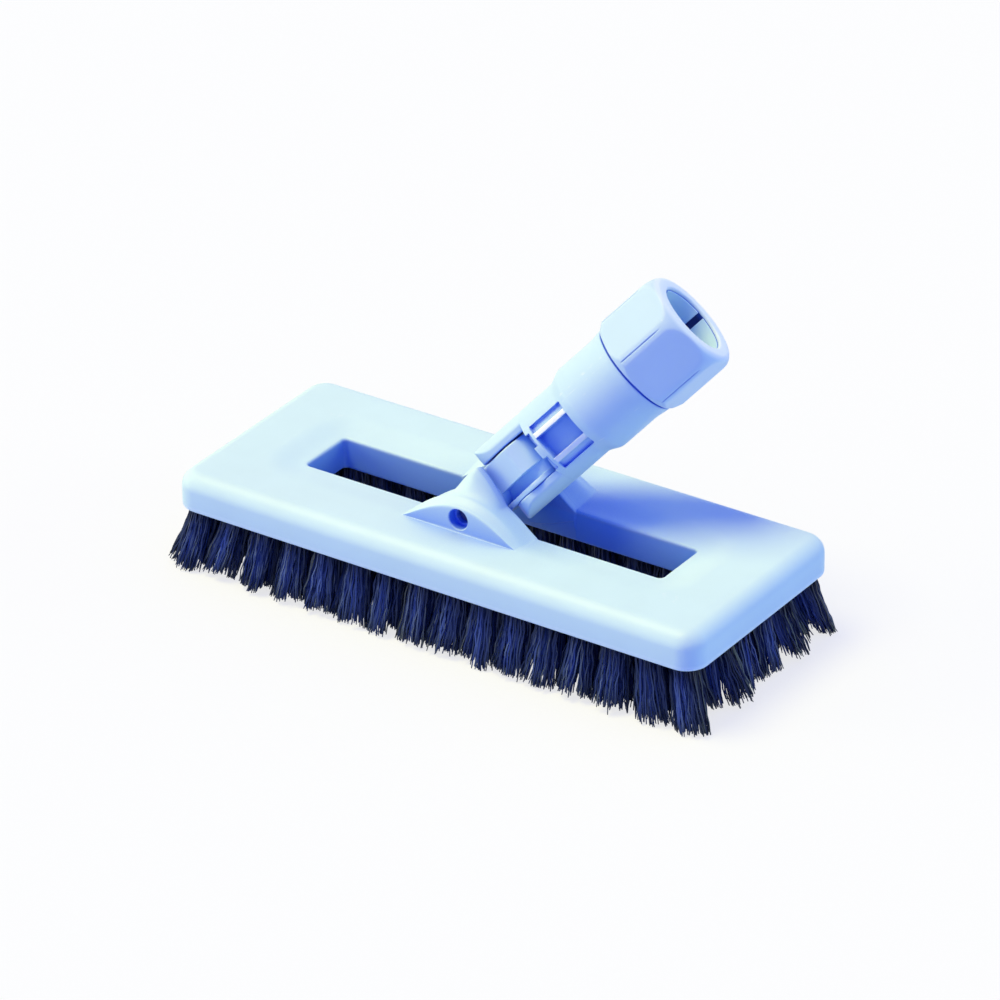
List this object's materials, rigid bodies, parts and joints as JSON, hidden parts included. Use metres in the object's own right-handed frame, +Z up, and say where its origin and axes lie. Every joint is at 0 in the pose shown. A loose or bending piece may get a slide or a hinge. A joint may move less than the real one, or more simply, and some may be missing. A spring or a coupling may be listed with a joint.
{
  "type": "floor scrub brush",
  "caption": "Rectangular floor scrub brush: a windowed block with tufts below and a two-axis swivel socket with a clamp collar that grips a pole.",
  "frame": {"origin": "centre of the assembly's box in the plan, on the floor plane under the bristle tips", "axes": "+X along the block's long side, towards the side that the socket leans to; +Z up; +Y completes the frame and is the side that the socket also tilts to"},
  "size_m": [0.2084, 0.093, 0.1144],
  "materials": {
    "block_blue": "moulded, satin",
    "socket_blue": "moulded, satin",
    "collar_blue": "moulded, satin",
    "knuckle_blue": "moulded, satin",
    "collet_blue": "moulded, satin",
    "pin_steel": "drawn wire, satin",
    "bristle_navy": "stiff synthetic filament"
  },
  "bodies": {
    "deck": {"block": "block_blue", "bristles_front_inner": "bristle_navy", "bristles_front_middle": "bristle_navy", "bristles_front_outer": "bristle_navy", "bristles_back_inner": "bristle_navy", "bristles_back_middle": "bristle_navy", "bristles_back_outer": "bristle_navy", "bristles_left_end": "bristle_navy", "bristles_right_end": "bristle_navy", "pivot_pin": "pin_steel"},
    "knuckle_link": {"knuckle": "knuckle_blue"},
    "socket_body": {"socket": "socket_blue", "collet": "collet_blue", "cross_pin": "pin_steel"},
    "collar_ring": {"collar": "collar_blue"}
  },
  "joints": [
    {"name": "swivel", "type": "hinge", "parent": "deck", "child": "knuckle_link", "pos_m": [0.0001, -0.00188, 0.0391], "axis": [0, 1, 0], "range_deg": [-105.04, 24.96]},
    {"name": "tilt", "type": "hinge", "parent": "knuckle_link", "child": "socket_body", "pos_m": [0.00911, -0.00188, 0.04982], "axis": [0.7656, 0, -0.6433], "range_deg": [-4.41, 55.59]},
    {"name": "collar_turn", "type": "hinge", "parent": "socket_body", "child": "collar_ring", "pos_m": [0.00911, -0.00188, 0.04982], "axis": [0.5802, 0.4319, 0.6905], "range_deg": [0, 180]}
  ]
}
